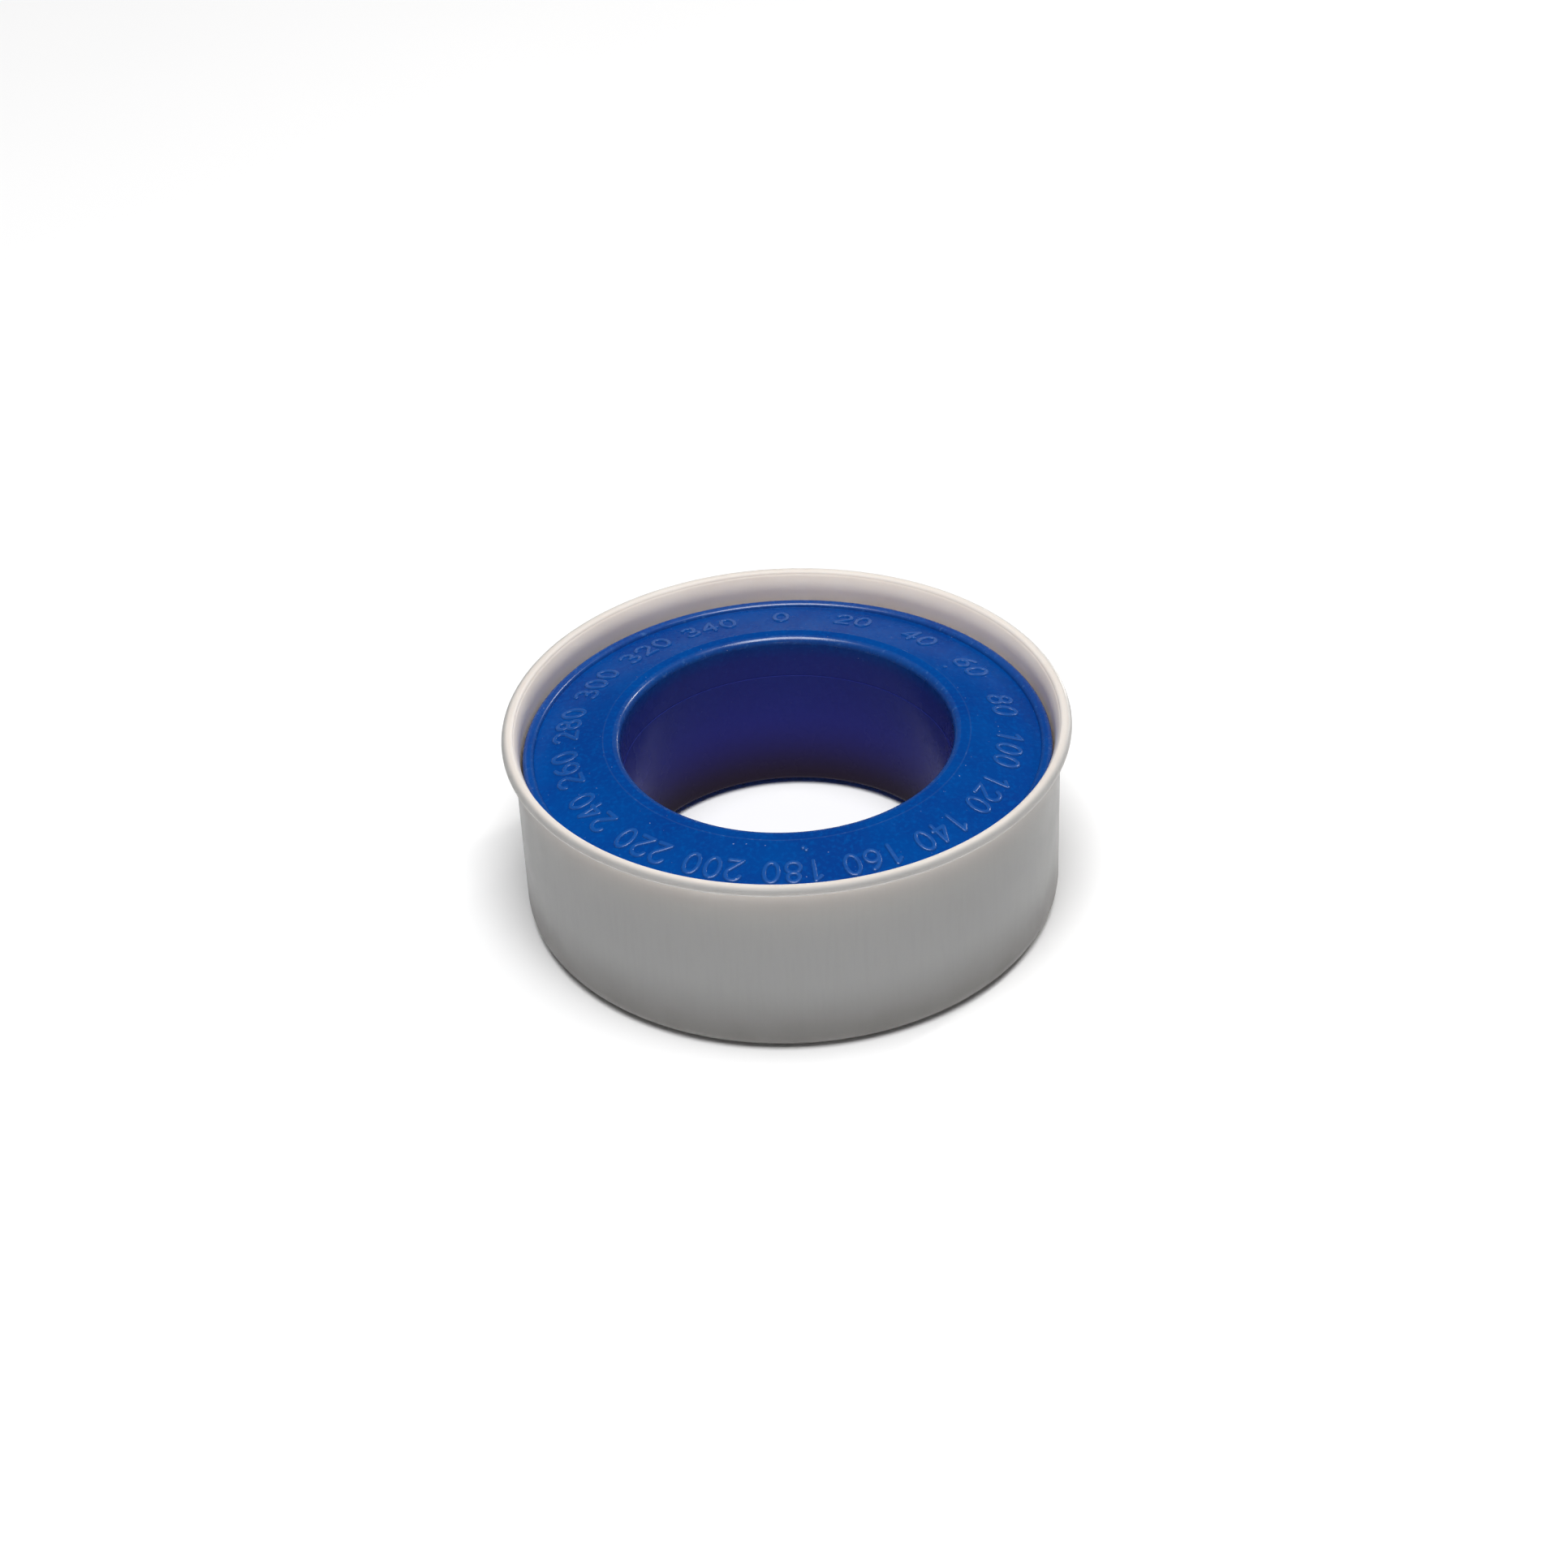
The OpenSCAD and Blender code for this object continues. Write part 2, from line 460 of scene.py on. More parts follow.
@dataclass(frozen=True)
class SatinWhite:
    """Cover ring's finish: white moulded polyethylene with a satin skin, with painted shade on the outer wall
    and at its foot.
    """

    clean: Colour = (0.71, 0.665, 0.62, 1)
    warm: Colour = (0.67, 0.622, 0.577, 1)
    # Outer wall tone: the white darkened as painted shade
    greyed: Colour = (0.335, 0.335, 0.332, 1)
    streaked: Colour = (0.326, 0.326, 0.322, 1)
    # Dark tone towards the foot and the height it reaches: painted shade near the floor
    handled: Colour = (0.182, 0.175, 0.168, 1)
    handled_height: float = 8.0
    # Sizes of the patterns and depths of the relief
    cloud_size: float = 14.0
    drawn_size: float = 0.4
    smear_size: float = 5.0
    gloss_size: float = 5.0
    grain_size: float = 0.16
    grain_depth: float = 0.004
    line_size: float = 0.35
    line_depth: float = 0.003

    def material(self) -> bpy.types.Material:
        """Builds the finish: clouded white, a wall with drawn lines in painted shade, painted shade at the
        foot and fine grain.

        Returns:
            The new material.
        """
        graph = NodeGraph("satin_white")
        graph.fix(Subsurface_Weight=1.0, Subsurface_Scale=1.2 * MM, IOR=1.5, Specular_IOR_Level=0.2)
        graph.shader.inputs["Subsurface Radius"].default_value = (1.0, 0.94, 0.9)
        cloud = graph.spread(graph.noise(self.cloud_size, 4), (0.35, 0.65), (0, 1))
        colour = graph.blend(cloud, self.clean, self.warm)
        drawn = graph.spread(graph.noise(self.drawn_size, 3, (1, 1, 12)), (0.4, 0.7), (0, 0.8))
        # The outer wall is darkened as painted shade; its drawn lines are a real pattern
        wall = graph.blend(drawn, self.greyed, self.streaked)
        colour = graph.blend(graph.value("outside"), colour, wall)
        # Painted shade that darkens the outer face towards the foot, blotched by noise
        foot = graph.spread(graph.height(), (0, self.handled_height * MM), (1, 0))
        shade_blotch = graph.spread(graph.noise(self.smear_size, 4), (0.35, 0.7), (0.9, 1))
        foot_shade_share = graph.times(graph.times(foot, shade_blotch), graph.value("outside"))
        colour = graph.blend(foot_shade_share, colour, self.handled)
        graph.link(colour, graph.shader.inputs["Base Color"])
        rough = graph.spread(graph.noise(self.gloss_size, 5), (0.3, 0.7), (0.38, 0.52))
        graph.link(rough, graph.shader.inputs["Roughness"])
        graph.bump(graph.noise(self.grain_size, 3), self.grain_depth)
        graph.bump(graph.noise(self.line_size, 2, (1, 1, 40)), self.line_depth)
        return graph.material


@dataclass(frozen=True)
class GlossBlue:
    """Spool's finish: blue moulded polystyrene, glossy, with flow marks and fine scuffs."""

    body: Colour = (0.001, 0.053, 0.262, 1)
    deep: Colour = (0.002, 0.041, 0.229, 1)
    bright: Colour = (0.001, 0.077, 0.33, 1)
    # Lighter blue of the raised marks: a painted highlight
    raised: Colour = (0.010, 0.093, 0.355, 1)
    # Bore colours: painted shade in the bore, darkest towards its foot
    recess: Colour = (0.027, 0.026, 0.205, 1)
    pit: Colour = (0.020, 0.013, 0.028, 1)
    scuffed: Colour = (0.045, 0.13, 0.36, 1)
    dust: Colour = (0.34, 0.40, 0.55, 1)
    pit_height: float = 9.0
    # Specular level on flats and on tight round edges
    flat_gloss: float = 0.04
    edge_gloss: float = 0.6
    # Sizes of the patterns and depths of the relief
    flow_size: float = 7.0
    mottle_size: float = 0.4
    speck_size: float = 0.5
    dust_size: float = 0.3
    gloss_size: float = 2.5
    wave_size: float = 1.1
    wave_depth: float = 0.008
    grain_size: float = 0.14
    grain_depth: float = 0.002

    def material(self) -> bpy.types.Material:
        """Builds the finish: blues in soft flow marks, a painted highlight on the raised marks, scuffs, dust,
        painted shade in the bore and an uneven gloss.

        Returns:
            The new material.
        """
        graph = NodeGraph("gloss_blue")
        graph.fix(IOR=1.5)
        gloss = graph.spread(graph.value("ridge"), (0, 1), (self.flat_gloss, self.edge_gloss))
        graph.link(gloss, graph.shader.inputs["Specular IOR Level"])
        flow = graph.spread(graph.noise(self.flow_size, 4, (1, 1, 2.5)), (0.36, 0.64), (0, 1))
        colour = graph.blend(flow, self.body, self.deep)
        mottle = graph.spread(graph.noise(self.mottle_size, 3), (0.45, 0.75), (0, 0.6))
        colour = graph.blend(mottle, colour, self.bright)
        # Painted highlight: the raised marks take a lighter blue
        colour = graph.blend(graph.times(graph.value("raised"), 0.5), colour, self.raised)
        speck = graph.spread(graph.noise(self.speck_size, 4), (0.58, 0.75), (0.1, 0.7))
        colour = graph.blend(graph.times(graph.value("ridge"), speck), colour, self.scuffed)
        dust = graph.spread(graph.noise(self.dust_size, 2), (0.74, 0.79), (0, 0.7))
        colour = graph.blend(dust, colour, self.dust)
        # Painted shade in the bore, darkest towards its bottom
        colour = graph.blend(graph.value("bore"), colour, self.recess)
        low = graph.spread(graph.height(), (MM, self.pit_height * MM), (1, 0))
        colour = graph.blend(graph.times(graph.value("bore"), low), colour, self.pit)
        graph.link(colour, graph.shader.inputs["Base Color"])
        rough = graph.spread(graph.noise(self.gloss_size, 6), (0.3, 0.7), (0.2, 0.3))
        graph.link(rough, graph.shader.inputs["Roughness"])
        graph.bump(graph.noise(self.wave_size, 2), self.wave_depth)
        graph.bump(graph.noise(self.grain_size, 3), self.grain_depth)
        return graph.material


@dataclass(frozen=True)
class WaxyFilm:
    """Tape's finish: soft white fluoropolymer film with fine lines along its length."""

    film: Colour = (0.88, 0.872, 0.855, 1)
    shade: Colour = (0.79, 0.782, 0.766, 1)
    # Sizes of the patterns, how much longer a line is than it is wide, and depth of the relief
    cloud_size: float = 6.0
    line_size: float = 0.22
    line_stretch: float = 60.0
    line_depth: float = 0.012

    def material(self) -> bpy.types.Material:
        """Builds the finish: clouded white, stretch lines along the strip and a waxy sheen.

        Returns:
            The new material.
        """
        graph = NodeGraph("waxy_film")
        graph.fix(Subsurface_Weight=0.2, Subsurface_Scale=0.8 * MM, IOR=1.38, Specular_IOR_Level=0.4)
        graph.shader.inputs["Subsurface Radius"].default_value = (1.0, 1.0, 1.0)
        lines = graph.noise(self.line_size, 3, (self.line_stretch, self.line_stretch, 1))
        cloud = graph.noise(self.cloud_size, 4)
        colour = graph.blend(graph.spread(lines, (0.35, 0.7), (0, 0.6)), self.film, self.shade)
        colour = graph.blend(graph.spread(cloud, (0.4, 0.7), (0, 0.35)), colour, self.shade)
        graph.link(colour, graph.shader.inputs["Base Color"])
        rough = graph.spread(cloud, (0.3, 0.7), (0.42, 0.58))
        graph.link(rough, graph.shader.inputs["Roughness"])
        graph.bump(lines, self.line_depth)
        return graph.material


@dataclass(frozen=True)
class PaleGround:
    """Floor's finish: matt pale paper."""

    light: Colour = (0.93, 0.93, 0.93, 1)
    dim: Colour = (0.91, 0.91, 0.91, 1)
    cloud_size: float = 60.0

    def material(self) -> bpy.types.Material:
        """Builds the finish: nearly even white with a faint cloud.

        Returns:
            The new material.
        """
        graph = NodeGraph("pale_ground")
        graph.fix(Roughness=0.9, Specular_IOR_Level=0.1)
        colour = graph.blend(graph.noise(self.cloud_size, 2), self.light, self.dim)
        graph.link(colour, graph.shader.inputs["Base Color"])
        return graph.material


def dress(made: bpy.types.Object, finish: bpy.types.Material, body: Body,
          node: Optional[str] = None) -> bpy.types.Object:
    """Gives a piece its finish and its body.

    Args:
        made: The piece.
        finish: Its material.
        body: Body that it rides on.
        node: CAD node that it stands for, or None for a detail of its own.

    Returns:
        The same piece.
    """
    made.data.materials.append(finish)
    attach(made, body.value)
    if node:
        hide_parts(node)
    return made


# Cover ring


@dataclass
class CoverRing:
    """White cover ring: bottom lip, round corner, thin straight wall and flared rim with a round top."""

    wall: float = 0.5
    lip_t: float = 1.35
    lip_w: float = 2.9
    corner_r: float = 1.7
    inner_corner_r: float = 0.5
    rim_overhang: float = 1.05
    rim_h: float = 0.75
    rim_flare: float = 0.45
    rim_inner_r: float = 0.3
    rim_foot_r: float = 0.15
    rim_fillet: float = 0.6
    flare_h: float = 1.6
    # How far the painted wall shade reaches onto the rim's top, and how painted light lifts it in the hollow
    # below the rim, where the rim's shadow falls
    rim_grey: float = 0.15
    hollow_share: float = 0.95
    hollow_up: float = 0.33
    hollow_down: float = 1.5

    def __post_init__(self) -> None:
        """Reads the rim's radius and height from the frame."""
        high = box_mm("cover_shell")[1]
        self.rim_r, self.rim_z = high[0], high[2]
        self.wall_r = self.rim_r - self.rim_overhang
        self.inner_r = self.wall_r - self.wall
        self.rim_foot_z = self.rim_z - self.rim_h

    def outline(self) -> np.ndarray:
        """Section of the ring. Its inner wall flares along an arc that starts upright.

        Returns:
            Closed outline against the clock.
        """
        lip_round = self.lip_t / 2
        lip_r = self.inner_r - self.lip_w
        rim_inner = self.inner_r + self.rim_flare
        top_r = min(self.rim_r - rim_inner - self.rim_inner_r, self.rim_h - self.rim_foot_r)
        flare_r = (self.flare_h ** 2 + self.rim_flare ** 2) / (2 * self.rim_flare)
        flare_angle = math.degrees(math.asin(self.flare_h / flare_r))
        flare_z = self.rim_z - self.rim_inner_r - self.flare_h
        return closed_outline(
            arc((lip_r + lip_round, lip_round), lip_round, 90, 270),
            arc((self.wall_r - self.corner_r, self.corner_r), self.corner_r, 270, 360),
            arc((self.wall_r + self.rim_fillet, self.rim_foot_z - self.rim_fillet), self.rim_fillet, 180, 90),
            arc((self.rim_r - self.rim_foot_r, self.rim_foot_z + self.rim_foot_r), self.rim_foot_r, 270, 360),
            arc((self.rim_r - top_r, self.rim_z - top_r), top_r, 0, 90),
            arc((rim_inner + self.rim_inner_r, self.rim_z - self.rim_inner_r), self.rim_inner_r, 90, 180),
            arc((self.inner_r + flare_r, flare_z), flare_r, 180 - flare_angle, 180),
            arc((self.inner_r - self.inner_corner_r, self.lip_t + self.inner_corner_r),
                self.inner_corner_r, 360, 270))

    def build(self) -> list[bpy.types.Object]:
        """Makes and dresses the ring, with the attribute "outside" that carries the painted shade of the
        outer wall.

        The attribute grows with how far the section faces outwards. On the rim and in the hollow below
        it, it is less, by an even fading with the distance from the hollow: painted light against the rim's
        shadow.

        Returns:
            The one piece.
        """
        outline = self.outline()
        # Painted light: the wall's painted shade is lifted in the hollow below the rim, where the rim's
        # shadow falls
        below = self.rim_foot_z - self.rim_fillet - outline[:, 1]
        apart = np.where(below > 0, below / self.hollow_down, -below / self.hollow_up)
        hollow = self.hollow_share * np.exp(-apart)
        outside = smooth_step(outward_share(outline) + self.rim_grey) * (1 - hollow)
        ring = turned("cover_ring", outline, outside=outside)
        return [dress(ring, SatinWhite().material(), Body.COVER, "cover_shell")]


# Spool


@dataclass(frozen=True)
class Line:
    """Straight pen stroke between two points, in shares of a numeral's height."""

    start: tuple[float, float]
    end: tuple[float, float]

    def path(self, share: np.ndarray) -> np.ndarray:
        """Points at the given shares of the stroke."""
        return np.array(self.start) + share[:, None] * (np.array(self.end) - np.array(self.start))


@dataclass(frozen=True)
class Bow:
    """Pen stroke along an ellipse between two angles, in shares of a numeral's height."""

    centre: tuple[float, float]
    radii: tuple[float, float]
    start: float
    end: float

    def path(self, share: np.ndarray) -> np.ndarray:
        """Points at the given shares of the stroke."""
        angle = np.radians(self.start + share * (self.end - self.start))
        return np.array(self.centre) + np.array(self.radii) * np.stack([np.cos(angle), np.sin(angle)], 1)


# Plain numerals as pen strokes in a box 0.6 wide and 1 high
NUMERAL_WIDTH_SHARE = 0.6
NUMERAL_STROKES: dict[str, tuple[Line | Bow, ...]] = {
    "0": (Bow((0.3, 0.5), (0.3, 0.5), 90, 450),),
    "1": (Line((0.10, 0.80), (0.34, 1)), Line((0.34, 1), (0.34, 0))),
    "2": (Bow((0.3, 0.7), (0.3, 0.3), 165, -38), Line((0.536, 0.515), (0, 0)), Line((0, 0), (0.6, 0))),
    "3": (Bow((0.28, 0.75), (0.26, 0.25), 140, -90), Bow((0.28, 0.25), (0.32, 0.25), 90, -140)),
    "4": (Line((0.45, 0), (0.45, 1)), Line((0.45, 1), (0, 0.3)), Line((0, 0.3), (0.6, 0.3))),
    "6": (Bow((0.3, 0.3), (0.3, 0.3), 0, 360), Bow((0.62, 0.3), (0.62, 0.7), 180, 108)),
    "8": (Bow((0.3, 0.76), (0.24, 0.24), 90, 450), Bow((0.3, 0.27), (0.3, 0.27), 90, 450)),
}


@dataclass(frozen=True)
class FlangeFace:
    """Outer face of the upper flange, a shallow cone from a flat ring down to the bead."""

    inner_r: float
    outer_r: float
    inner_z: float
    outer_z: float

    def height(self, radius: np.ndarray) -> np.ndarray:
        """Height of the face, which is flat on the ring and falls evenly outside it."""
        share = np.maximum(radius - self.inner_r, 0) / (self.outer_r - self.inner_r)
        return self.inner_z + share * (self.outer_z - self.inner_z)


@dataclass
class DialScale:
    """Plain raised marks on the upper flange: a numeral every 20 degrees and mould dots."""

    step: int = 20
    numeral_h: float = 2.2
    gap_share: float = 0.3
    middle_r: float = 21.0
    # Short marks of the mould: angle, and where each starts and ends along the radius
    mould_marks: tuple[tuple[float, float, float], ...] = (
        (177.0, 18.3, 18.34), (176.2, 18.55, 18.6), (58.0, 18.4, 18.44))
    pen: float = 0.46
    relief: float = 0.16
    squareness: float = 0.6
    ridge: float = 0.5
    sunk: float = 0.12
    path_steps: int = 15
    # A round end is drawn up to this angle of its quarter circle, so that no step has a width of nothing
    end_angle: float = 84.0
    end_steps: int = 4
    section_steps: int = 7

    def strokes(self) -> tuple[np.ndarray, np.ndarray]:
        """Pen paths of all the marks, each upright about its own middle, and their places on the ring.

        Returns:
            Paths of shape (strokes, path_steps, 2) in millimetres, and angles in degrees.
        """
        share = np.linspace(0, 1, self.path_steps)
        advance = NUMERAL_WIDTH_SHARE + self.gap_share
        paths, angles = [], []
        for degree in range(0, 360, self.step):
            text = str(degree)
            width = len(text) * advance - self.gap_share
            for place, digit in enumerate(text):
                shift = np.array([place * advance - width / 2, -0.5])
                for stroke in NUMERAL_STROKES[digit]:
                    paths.append((stroke.path(share) + shift) * self.numeral_h)
                    angles.append(degree)
        for degree, start, end in self.mould_marks:
            paths.append(Line((0, start - self.middle_r), (0, end - self.middle_r)).path(share))
            angles.append(degree)
        return np.array(paths), np.array(angles, float)

    def build(self, face: FlangeFace) -> bpy.types.Object:
        """Carries a soft-topped pen section along each path, with round ends, and bends it to the ring.

        The section's top is a power of a half sine, which is flatter than a circle. Beyond both ends of
        a path the section goes on straight and shrinks as a quarter circle. On the ring a point's step
        to the right is an angle with the clock and its step up is a radius.

        Args:
            face: The flange's face, which the strokes stand on.

        Returns:
            The new object.
        """
        paths, degrees = self.strokes()
        half = self.pen / 2
        reach = np.sin(np.radians(np.linspace(0, self.end_angle, self.end_steps + 1)))[1:]
        taper = np.sqrt(1 - reach ** 2)
        first, last = paths[:, :1], paths[:, -1:]
        before = first - unit(paths[:, 1:2] - first) * (half * reach[::-1])[:, None]
        beyond = last + unit(last - paths[:, -2:-1]) * (half * reach)[:, None]
        track = np.concatenate([before, paths, beyond], 1)
        shrink = np.concatenate([taper[::-1], np.ones(self.path_steps), taper])
        ahead = unit(np.gradient(track, axis=1))
        right = np.stack([ahead[..., 1], -ahead[..., 0]], -1)
        angle = np.radians(np.linspace(0, 180, self.section_steps))
        across = half * np.concatenate([np.cos(angle), [-1, 1]])[:, None] * shrink
        top = self.relief * np.sin(angle)[:, None].clip(0) ** self.squareness * shrink
        above = np.concatenate([top, np.full((2, len(shrink)), -self.sunk)])
        flat = track[:, None] + right[:, None] * across[None, ..., None]
        radius = self.middle_r + flat[..., 1]
        # The zero stands at the back of the roll
        turn = math.pi / 2 - np.radians(degrees)[:, None, None] - flat[..., 0] / self.middle_r
        points = np.stack([radius * np.cos(turn), radius * np.sin(turn), face.height(radius) + above], -1)
        made = stroke_object("spool_scale", points)
        set_point_value(made, "ridge", np.full(points.size // 3, self.ridge))
        set_point_value(made, "raised", np.ones(points.size // 3))
        return made


@dataclass
class Spool:
    """Blue spool: a lower half with the hub tube and an upper half that plugs into it."""

    seam_step: float = 0.06
    hub_wall: float = 1.4
    flange_t: float = 0.85
    bead_w: float = 1.1
    bead_h: float = 0.4
    ring_w: float = 1.5
    dish_gap: float = 0.3
    spigot_t: float = 0.55
    spigot_gap: float = 0.05
    bead_edge_r: float = 0.45
    plate_edge_r: float = 0.3
    mouth_r: float = 0.65
    foot_mouth_r: float = 0.78
    ring_edge_r: float = 0.5
    root_fillet: float = 0.4
    # Depths below the mouth over which the painted shade in the bore grows, quickly and then slowly, and the
    # quick one's share
    dim_mouth: float = 2.5
    dim_foot: float = 16.0
    mouth_share: float = 0.75

    def __post_init__(self) -> None:
        """Reads the outer sizes and levels from the frame."""
        base_low, base_high = box_mm("spool_base")
        cap_low, cap_high = box_mm("spool_cap")
        bore = next(m for m in frame["record"]["mounts"] if m["name"] == "hub_bore")
        cover = CoverRing()
        self.bore_r = bore["dims"]["r_mm"]
        self.flange_r = cap_high[0]
        self.foot_z = base_low[2]
        self.rest_z = cover.lip_t
        self.dish_r = cover.inner_r - cover.lip_w - self.dish_gap
        self.cap_z = base_high[2]
        self.seam_z = cap_low[2]
        self.ring_z = cap_high[2]
        self.cap_bore_r = self.bore_r + self.seam_step
        self.spigot_r = self.cap_bore_r + self.spigot_t
        self.plate_z = self.cap_z + self.flange_t

    def base_outline(self) -> np.ndarray:
        """Section of the lower half: flat ring, flange that thickens to the hub, hub tube and socket.

        Returns:
            Closed outline against the clock.
        """
        plate_z = self.rest_z + self.bead_h
        top_z = plate_z + self.flange_t
        foot_r = self.bore_r + self.ring_w
        hub_r = self.bore_r + self.hub_wall
        socket_r = self.spigot_r + self.spigot_gap
        slope = math.degrees(math.atan2(plate_z - self.foot_z, self.dish_r - foot_r))
        return closed_outline(
            arc((self.bore_r + self.foot_mouth_r, self.foot_z + self.foot_mouth_r),
                self.foot_mouth_r, 180, 270),
            arc((foot_r, self.foot_z + self.ring_edge_r), self.ring_edge_r, 270, 270 + slope),
            corner(self.dish_r, plate_z),
            arc((self.flange_r - self.bead_w + self.bead_h, plate_z), self.bead_h, 180, 270),
            arc((self.flange_r - self.bead_edge_r, self.rest_z + self.bead_edge_r),
                self.bead_edge_r, 270, 360),
            arc((self.flange_r - self.plate_edge_r, top_z - self.plate_edge_r), self.plate_edge_r, 0, 90),
            arc((hub_r + self.root_fillet, top_z + self.root_fillet), self.root_fillet, 270, 180),
            corner(hub_r, self.cap_z), corner(socket_r, self.cap_z),
            corner(socket_r, self.seam_z), corner(self.bore_r, self.seam_z))

    def cap_face(self) -> FlangeFace:
        """Outer face of the upper half's flange, between the flat ring and the bead."""
        return FlangeFace(self.cap_bore_r + self.ring_w, self.flange_r - self.bead_w,
                          self.ring_z, self.plate_z)

    def cap_outline(self) -> np.ndarray:
        """Section of the upper half: spigot, flange that thickens to the hub, and its flat ring.

        Returns:
            Closed outline against the clock.
        """
        bead_z = self.plate_z + self.bead_h
        face = self.cap_face()
        slope = math.degrees(math.atan2(face.inner_z - face.outer_z, face.outer_r - face.inner_r))
        return closed_outline(
            corner(self.cap_bore_r, self.seam_z), corner(self.spigot_r, self.seam_z),
            corner(self.spigot_r, self.cap_z),
            arc((self.flange_r - self.plate_edge_r, self.cap_z + self.plate_edge_r),
                self.plate_edge_r, 270, 360),
            arc((self.flange_r - self.bead_edge_r, bead_z - self.bead_edge_r), self.bead_edge_r, 0, 90),
            arc((self.flange_r - self.bead_w + self.bead_h, self.plate_z), self.bead_h, 90, 180),
            arc((face.inner_r, self.ring_z - self.ring_edge_r), self.ring_edge_r, 90 - slope, 90),
            arc((self.cap_bore_r + self.mouth_r, self.ring_z - self.mouth_r), self.mouth_r, 90, 180))

    def half(self, name: str, outline: np.ndarray) -> bpy.types.Object:
        """Turns one half, with the attribute "bore": painted shade that grows with how deep in the bore each
        point lies.

        The attribute "ridge" is how tight each round edge is, and fades from the mouth into the bore.

        Args:
            name: Name of the piece.
            outline: Its section.

        Returns:
            The new piece.
        """
        # Painted shade in the bore: it grows with the depth below the mouth and fades out away from the
        # bore's wall
        depth = self.ring_z - outline[:, 1]
        dim = self.mouth_share * smooth_step(depth / self.dim_mouth)
        dim = dim + (1 - self.mouth_share) * smooth_step(depth / self.dim_foot)
        edge = np.where(depth < self.dim_foot / 2, self.mouth_r / 2, self.foot_mouth_r)
        inside = smooth_step((self.cap_bore_r + edge - outline[:, 0]) / edge)
        sunk = smooth_step((depth - self.mouth_r) / self.dim_mouth)
        ridge = ridge_share(outline) * np.where(outline[:, 0] < self.bore_r + self.hub_wall, 1 - sunk, 1)
        return turned(name, outline, bore=dim * inside, ridge=ridge)

    def build(self) -> list[bpy.types.Object]:
        """Makes and dresses both halves and the raised scale.

        Returns:
            The three pieces.
        """
        finish = GlossBlue().material()
        base = self.half("spool_lower_half", self.base_outline())
        cap = self.half("spool_upper_half", self.cap_outline())
        scale = DialScale().build(self.cap_face())
        return [dress(base, finish, Body.SPOOL, "spool_base"),
                dress(cap, finish, Body.SPOOL, "spool_cap"),
                dress(scale, finish, Body.SPOOL)]


# Tape


@dataclass
class Tape:
    """White tape: a tight winding on the hub, and an outer turn that ends in the free end."""

    film_t: float = 0.1
    layer_depth: float = 0.03
    layer_gap: float = 0.02
    edge_r: float = 0.2
    turn_t: float = 0.2
    turn_gap: float = 0.45
    overlap: float = 30.0
    strip_columns: int = 720
    strip_rows: int = 49
    strip_edge_steps: int = 7
    # Slanted steps on the outer face: rise, slant, distance apart and how steep each one starts
    line_rise: float = 0.014
    line_slope: float = 0.75
    line_pitch: float = 3.1
    line_steepness: float = 6.0

    def winding_outline(self) -> np.ndarray:
        """Section of the winding: round edges, and on both ends a fine groove between layers.

        Returns:
            Closed outline against the clock.
        """
        low, high = box_mm("tape_winding")
        outer, bottom, top = high[0], low[2], high[2]
        inner = inner_radius_mm("tape_winding")
        layers = int((outer - inner - self.edge_r) / self.film_t)
        place = np.repeat(inner + self.film_t * np.arange(1, layers + 1), 2)
        place = place - np.tile([self.layer_gap, 0.0], layers)
        groove = np.tile([0.0, self.layer_depth], layers)
        return closed_outline(
            corner(inner, bottom), np.stack([place, bottom + groove], 1),
            arc((outer - self.edge_r, bottom + self.edge_r), self.edge_r, 270, 360),
            arc((outer - self.edge_r, top - self.edge_r), self.edge_r, 0, 90),
            np.stack([place, top - groove], 1)[::-1], corner(inner, top))

    def turn_points(self) -> np.ndarray:
        """Outer turn as a closed strip carried along a spiral that climbs evenly with the angle.

        The strip's section is a flat loop with round edges. Fine steps run across its outer face at a
        slant, as the edges of the layers below show through.

        Returns:
            Grid of shape (rows, columns, 3).
        """
        low, high = box_mm("tape_outer_turn")
        start_r = inner_radius_mm("tape_outer_turn")
        angle = np.radians(np.linspace(0, 360 + self.overlap, self.strip_columns))
        climb = (self.turn_t + self.turn_gap) * angle / (2 * math.pi)
        half = self.turn_t / 2
        bottom, top = low[2] + half, high[2] - half
        up = np.linspace(bottom, top, self.strip_rows)
        round_edge = np.radians(np.linspace(0, 180, self.strip_edge_steps))[1:-1]
        section = np.concatenate([
            np.stack([np.full(len(up), self.turn_t), up], 1),
            np.stack([half + half * np.cos(round_edge), top + half * np.sin(round_edge)], 1),
            np.stack([np.zeros(len(up)), up[::-1]], 1),
            np.stack([half - half * np.cos(round_edge), bottom - half * np.sin(round_edge)], 1)])
        step = ((self.line_slope * section[:, 1:] + start_r * angle[None, :]) / self.line_pitch) % 1
        saw = smooth_step(step * self.line_steepness) * (1 - step) - 1
        rise = self.line_rise * saw * (section[:, :1] > half)
        radius = start_r + climb[None, :] + section[:, :1] + rise
        height = np.repeat(section[:, 1:], len(angle), 1)
        return np.stack([radius * np.cos(angle), radius * np.sin(angle), height], -1)

    def build(self) -> list[bpy.types.Object]:
        """Makes and dresses the winding and the outer turn.

        Returns:
            The two pieces.
        """
        finish = WaxyFilm().material()
        winding = turned("tape_layers", self.winding_outline())
        turn = stroke_object("tape_free_turn", self.turn_points()[None])
        return [dress(winding, finish, Body.SPOOL, "tape_winding"),
                dress(turn, finish, Body.TAPE_END, "tape_outer_turn")]


# Stage


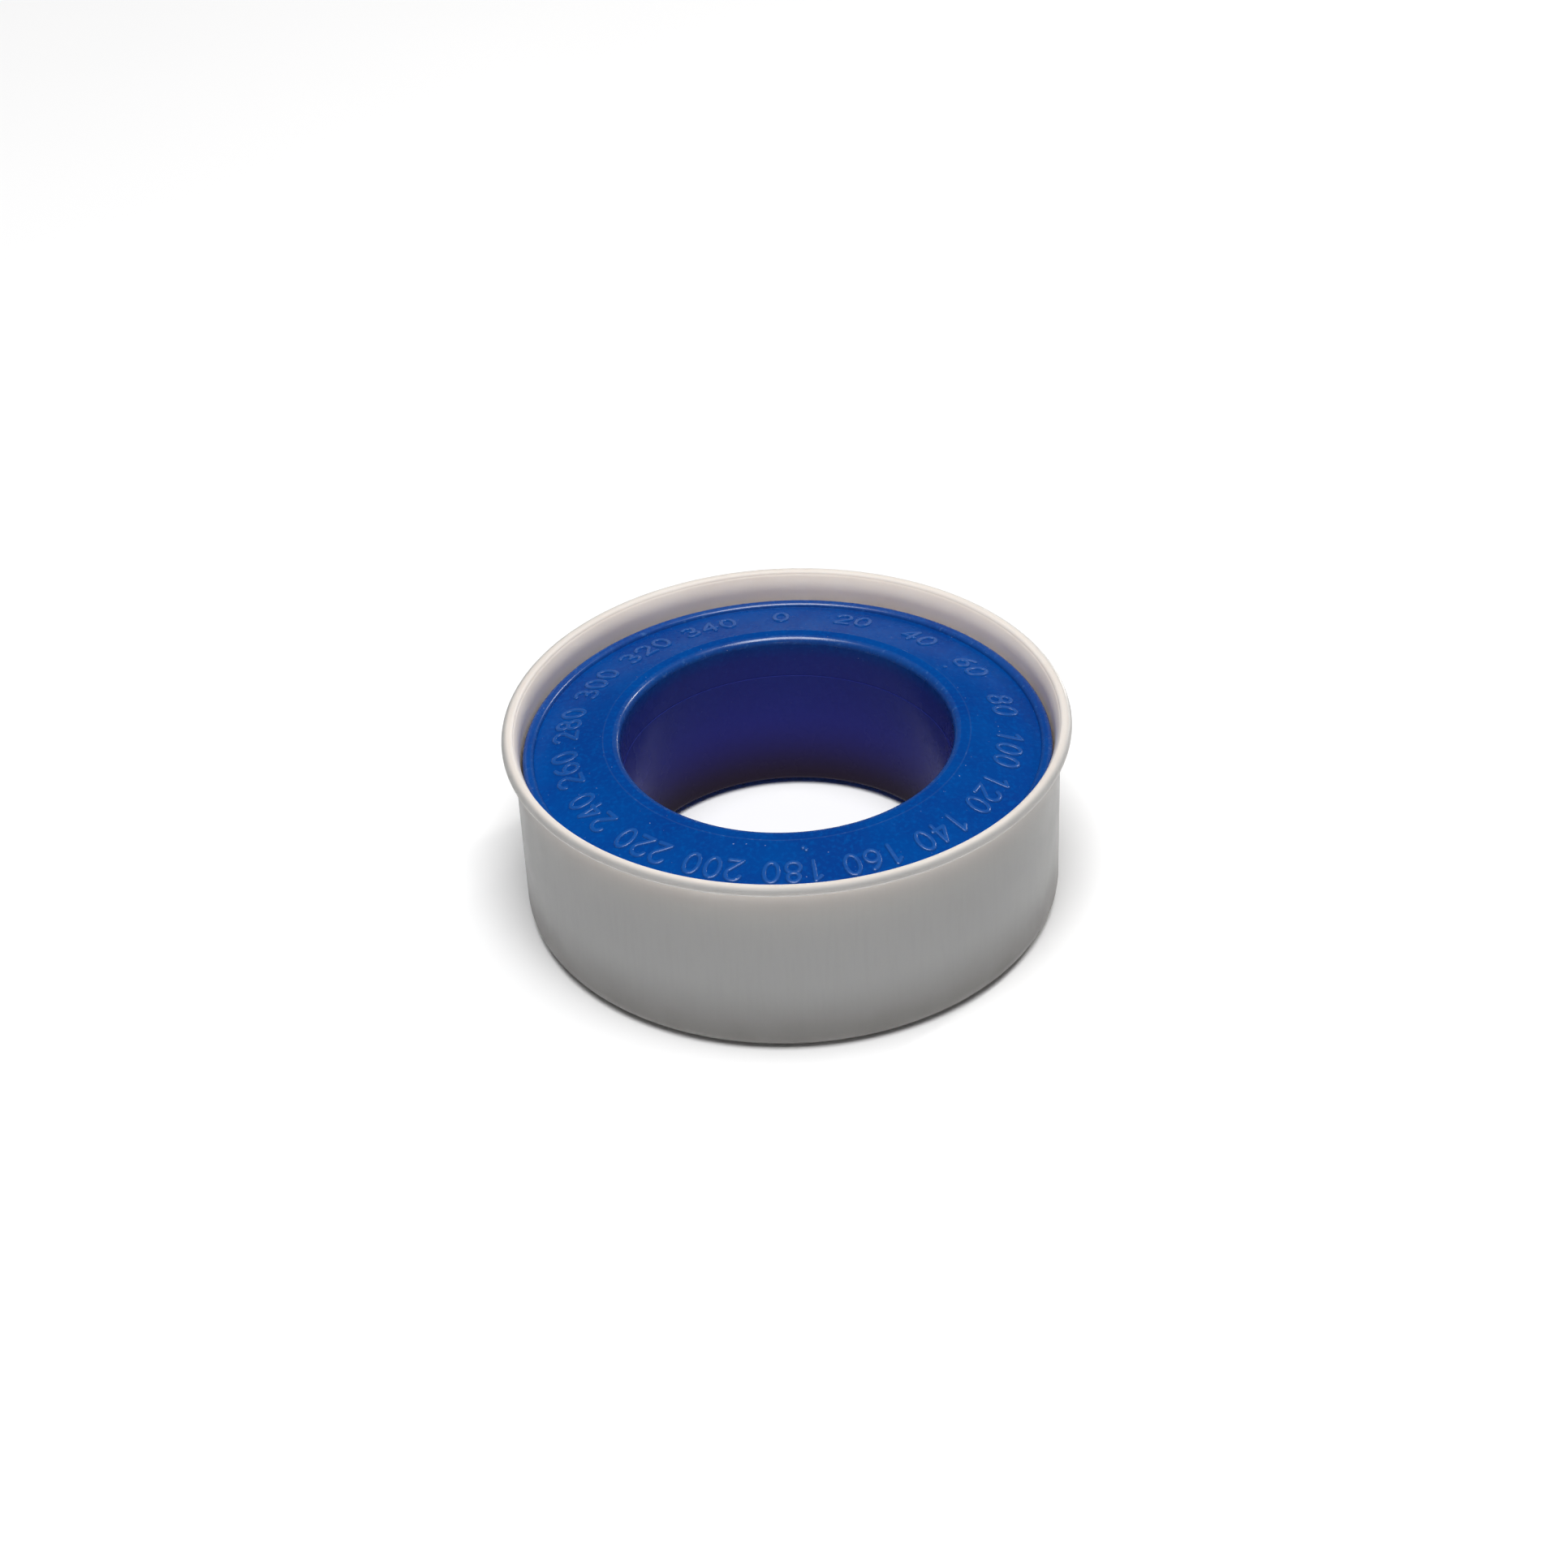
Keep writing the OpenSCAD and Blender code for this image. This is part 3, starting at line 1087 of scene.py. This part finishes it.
@dataclass
class PhotoCamera:
    """Camera where the photograph's stood: its axes come from an elevation and a roll."""

    frame_px: float = 1932.0
    focal_px: float = 3800.0
    sensor: float = 36.0
    elevation: float = 35.681
    roll: float = 2.690
    # Place of the roll's foot in camera axes: right, down and ahead
    foot: tuple[float, float, float] = (0.906, 9.226, 300.5)

    def build(self) -> bpy.types.Object:
        """Makes the camera, with its three axes turned by the elevation and then by the roll.

        Returns:
            The scene's camera.
        """
        tilt, turn = math.radians(self.elevation), math.radians(self.roll)
        ahead = np.array([0.0, math.cos(tilt), -math.sin(tilt)])
        right = np.array([1.0, 0.0, 0.0])
        down = np.cross(ahead, right)
        rolled_right = math.cos(turn) * right + math.sin(turn) * down
        rolled_down = math.cos(turn) * down - math.sin(turn) * right
        axes = np.stack([rolled_right, rolled_down, ahead])
        place = -axes.T @ np.array(self.foot) * MM
        data = bpy.data.cameras.new("photo_camera")
        data.sensor_width = self.sensor
        data.lens = self.focal_px / self.frame_px * self.sensor
        data.clip_start = MM
        camera = bpy.data.objects.new("photo_camera", data)
        columns = Matrix(np.stack([rolled_right, -rolled_down, -ahead], 1).tolist()).to_4x4()
        camera.matrix_world = Matrix.Translation(Vector(place)) @ columns
        bpy.context.scene.collection.objects.link(camera)
        bpy.context.scene.camera = camera
        return camera


@dataclass(frozen=True)
class Softbox:
    """One square light that faces the roll, in metres and watts."""

    name: str
    place: tuple[float, float, float]
    side: float
    power: float
    colour: tuple[float, float, float] = (1.0, 1.0, 1.0)

    def build(self) -> bpy.types.Object:
        """Makes the light and turns it to the origin.

        Returns:
            The new light.
        """
        data = bpy.data.lights.new(self.name, "AREA")
        data.size = self.side
        data.energy = self.power
        data.color = self.colour
        light = bpy.data.objects.new(self.name, data)
        light.location = self.place
        light.rotation_euler = (-Vector(self.place)).to_track_quat("-Z", "Y").to_euler()
        bpy.context.scene.collection.objects.link(light)
        return light


@dataclass
class Studio:
    """Pale floor, dim even surroundings and soft lights, in metres."""

    floor_side: float = 6.0
    surround: Colour = (0.9, 0.92, 1.0, 1)
    surround_strength: float = 0.05
    lights: tuple[Softbox, ...] = (
        Softbox("overhead", (0.0, -0.25, 1.15), 0.7, 16.2),
        Softbox("right_back", (0.49, 0.40, 0.48), 0.075, 1.1, (1.0, 0.98, 0.95)),
        Softbox("front_low", (0.0, -0.90, 0.036), 0.065, 1.1),
        Softbox("back_low", (0.50, 0.75, 0.04), 0.07, 2.6, (1.0, 0.97, 0.93)),
    )

    def build(self) -> None:
        """Makes the floor, the surroundings and the lights."""
        half = self.floor_side / 2 / MM
        corners = np.array([[-half, -half, 0], [half, -half, 0], [half, half, 0], [-half, half, 0]])
        floor = mesh_object("floor", corners, np.array([[0, 1, 2, 3]]))
        floor.data.materials.append(PaleGround().material())
        world = bpy.data.worlds.new("surroundings")
        world.use_nodes = True
        back = world.node_tree.nodes["Background"]
        back.inputs["Color"].default_value = self.surround
        back.inputs["Strength"].default_value = self.surround_strength
        bpy.context.scene.world = world
        for light in self.lights:
            light.build()


def main() -> None:
    """Builds the stage and the sub-assemblies in order, and reports each piece."""
    logging.basicConfig(level=logging.INFO, format="%(name)s: %(message)s")
    bpy.context.scene.view_settings.view_transform = "Standard"
    PhotoCamera().build()
    Studio().build()
    for piece in CoverRing().build() + Spool().build() + Tape().build():
        log.info("%s: %d faces", piece.name, len(piece.data.polygons))


if __name__ == "__main__":
    main()
